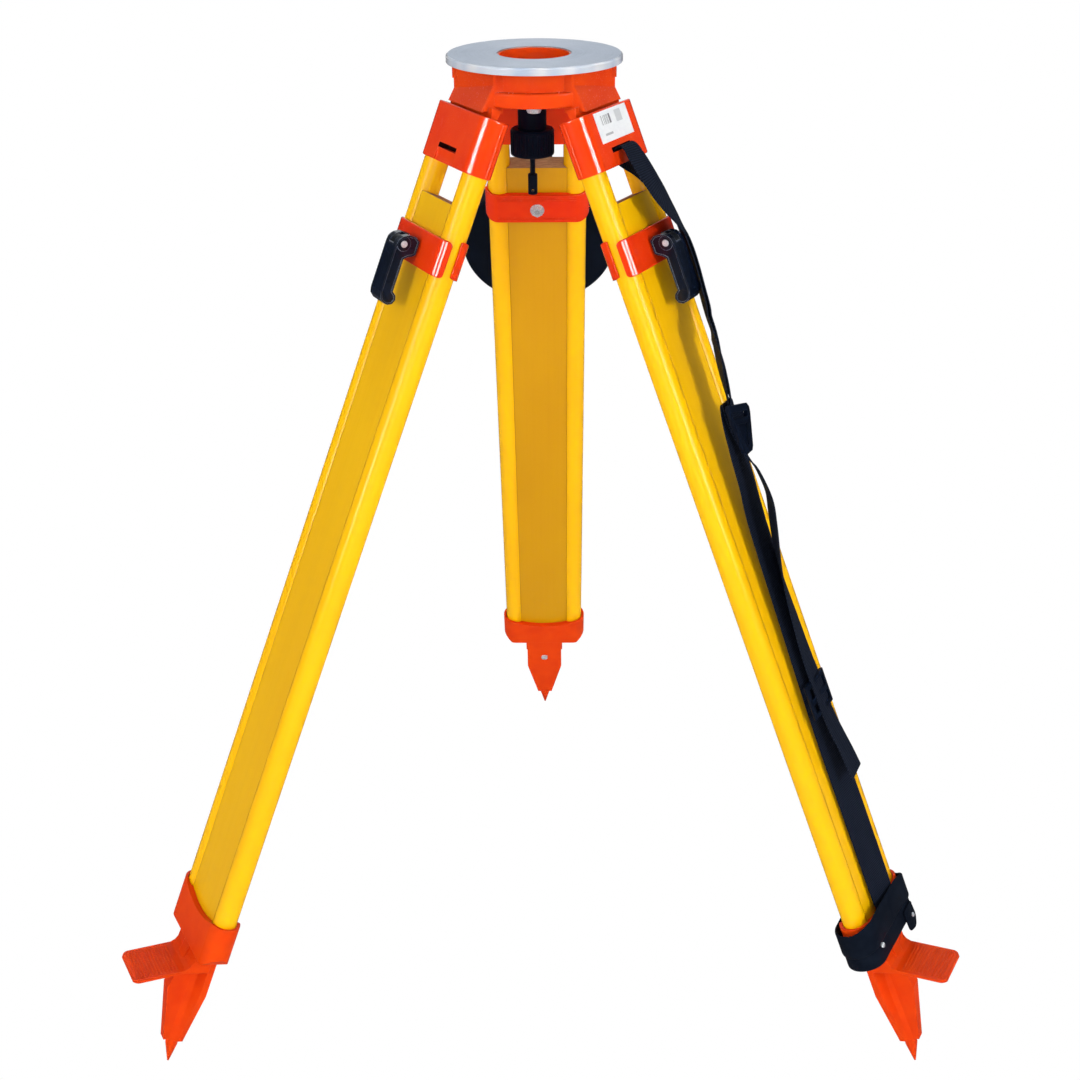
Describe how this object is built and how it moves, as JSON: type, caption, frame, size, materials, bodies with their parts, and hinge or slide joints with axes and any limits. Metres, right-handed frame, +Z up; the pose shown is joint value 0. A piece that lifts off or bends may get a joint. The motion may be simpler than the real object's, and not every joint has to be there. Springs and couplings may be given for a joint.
{
  "type": "surveyor tripod",
  "caption": "Surveyor tripod with a flat round head plate, a captive fixing screw, swinging two-stage legs, cam lever clamps, pointed shoes with foot steps, a hanging cap and a carrying strap.",
  "frame": {"origin": "centre of the round instrument face on top of the head plate", "axes": "+Z up through the centre of the opening, +Y towards the back leg, +X to the right seen from the front"},
  "size_m": [0.8248, 0.7158, 0.969],
  "materials": {
    "plate_alu": "fine brushed",
    "orange_cast": "glossy orange",
    "orange_clamp": "glossy red-orange",
    "yellow_pole": "glossy yellow coating",
    "yellow_panel": "satin yellow coating",
    "black_moulded": "satin black",
    "webbing": "woven black webbing",
    "zinc_steel": "bright zinc",
    "bush_plastic": "plain",
    "sticker_film": "plain white film"
  },
  "bodies": {
    "head": {"head_plate": "plate_alu", "head_casting": "orange_cast", "plate_screws": "zinc_steel", "hinge_bushes": "bush_plastic", "arm_pivot_bolt": "zinc_steel"},
    "arm": {"swing_arm": "black_moulded"},
    "carriage": {"screw_sleeve": "black_moulded"},
    "lift": {"thrust_washer": "zinc_steel"},
    "screw": {"fixing_screw": "zinc_steel", "knob": "black_moulded", "plumb_hook": "black_moulded"},
    "leg_upper_back": {"bracket_back": "orange_cast", "hinge_axle_back": "zinc_steel", "poles_back": "yellow_pole"},
    "leg_lower_back": {"panel_back": "yellow_panel", "shoe_back": "orange_cast", "shoe_point_back": "orange_cast", "shoe_screw_back": "zinc_steel", "clamp_outer_back": "orange_clamp", "clamp_inner_back": "orange_clamp", "clamp_bolt_back": "zinc_steel", "clamp_nut_back": "zinc_steel"},
    "lever_back": {"clamp_lever_back": "black_moulded", "lever_pin_back": "zinc_steel"},
    "leg_upper_left": {"bracket_left": "orange_cast", "hinge_axle_left": "zinc_steel", "poles_left": "yellow_pole"},
    "leg_lower_left": {"panel_left": "yellow_panel", "shoe_left": "orange_cast", "shoe_point_left": "orange_cast", "shoe_screw_left": "zinc_steel", "clamp_outer_left": "orange_clamp", "clamp_inner_left": "orange_clamp", "clamp_bolt_left": "zinc_steel", "clamp_nut_left": "zinc_steel"},
    "lever_left": {"clamp_lever_left": "black_moulded", "lever_pin_left": "zinc_steel"},
    "leg_upper_right": {"bracket_right": "orange_cast", "hinge_axle_right": "zinc_steel", "poles_right": "yellow_pole", "strap_upper": "webbing", "side_sticker": "sticker_film"},
    "leg_lower_right": {"panel_right": "yellow_panel", "shoe_right": "orange_cast", "shoe_point_right": "orange_cast", "shoe_screw_right": "zinc_steel", "clamp_outer_right": "orange_clamp", "clamp_inner_right": "orange_clamp", "clamp_bolt_right": "zinc_steel", "clamp_nut_right": "zinc_steel", "strap_lower": "webbing", "buckle_upper": "black_moulded", "buckle_lower": "black_moulded", "foot_belt": "webbing", "belt_rivet": "zinc_steel"},
    "lever_right": {"clamp_lever_right": "black_moulded", "lever_pin_right": "zinc_steel"},
    "cap": {"head_cap": "black_moulded", "cap_strap": "webbing"}
  },
  "joints": [
    {"name": "arm_swing", "type": "hinge", "parent": "head", "child": "arm", "pos_m": [0, -0.05, -0.034], "axis": [0, 0, 1], "range_deg": [-14, 9]},
    {"name": "carriage_slide", "type": "slide", "parent": "arm", "child": "carriage", "axis": [-0.0501, 0.9987, 0], "range_m": [-0.012, 0.012]},
    {"name": "screw_lift", "type": "slide", "parent": "carriage", "child": "lift", "axis": [0, 0, 1], "range_m": [0, 0.015]},
    {"name": "screw_turn", "type": "hinge", "parent": "lift", "child": "screw", "pos_m": [-0.0025, -0.00006, -0.08], "axis": [0, 0, 1], "continuous": true},
    {"name": "leg_swing_back", "type": "hinge", "parent": "head", "child": "leg_upper_back", "pos_m": [0, 0.06797, -0.06144], "axis": [1, 0, 0], "range_deg": [-22.77, 17]},
    {"name": "leg_extend_back", "type": "slide", "parent": "leg_upper_back", "child": "leg_lower_back", "axis": [0, 0.387, -0.9221], "range_m": [0, 0.6]},
    {"name": "clamp_release_back", "type": "hinge", "parent": "leg_lower_back", "child": "lever_back", "pos_m": [0, 0.13972, -0.15279], "axis": [1, 0, 0], "range_deg": [0, 110]},
    {"name": "leg_swing_left", "type": "hinge", "parent": "head", "child": "leg_upper_left", "pos_m": [-0.05887, -0.03399, -0.06144], "axis": [-0.5, 0.866, 0], "range_deg": [-22.77, 17]},
    {"name": "leg_extend_left", "type": "slide", "parent": "leg_upper_left", "child": "leg_lower_left", "axis": [-0.3352, -0.1935, -0.9221], "range_m": [0, 0.6]},
    {"name": "clamp_release_left", "type": "hinge", "parent": "leg_lower_left", "child": "lever_left", "pos_m": [-0.121, -0.06986, -0.15279], "axis": [-0.5, 0.866, 0], "range_deg": [0, 110]},
    {"name": "leg_swing_right", "type": "hinge", "parent": "head", "child": "leg_upper_right", "pos_m": [0.05887, -0.03399, -0.06144], "axis": [-0.5, -0.866, 0], "range_deg": [-22.77, 17]},
    {"name": "leg_extend_right", "type": "slide", "parent": "leg_upper_right", "child": "leg_lower_right", "axis": [0.3352, -0.1935, -0.9221], "range_m": [0, 0.6]},
    {"name": "clamp_release_right", "type": "hinge", "parent": "leg_lower_right", "child": "lever_right", "pos_m": [0.121, -0.06986, -0.15279], "axis": [-0.5, -0.866, 0], "range_deg": [0, 110]},
    {"name": "cap_swing", "type": "hinge", "parent": "leg_upper_back", "child": "cap", "pos_m": [0, 0.09828, -0.08559], "axis": [1, 0, 0], "range_deg": [0, 66]}
  ],
  "couplings": [
    {"joint": "cap_swing", "follows": "clamp_release_back", "ratio": 0.6}
  ]
}
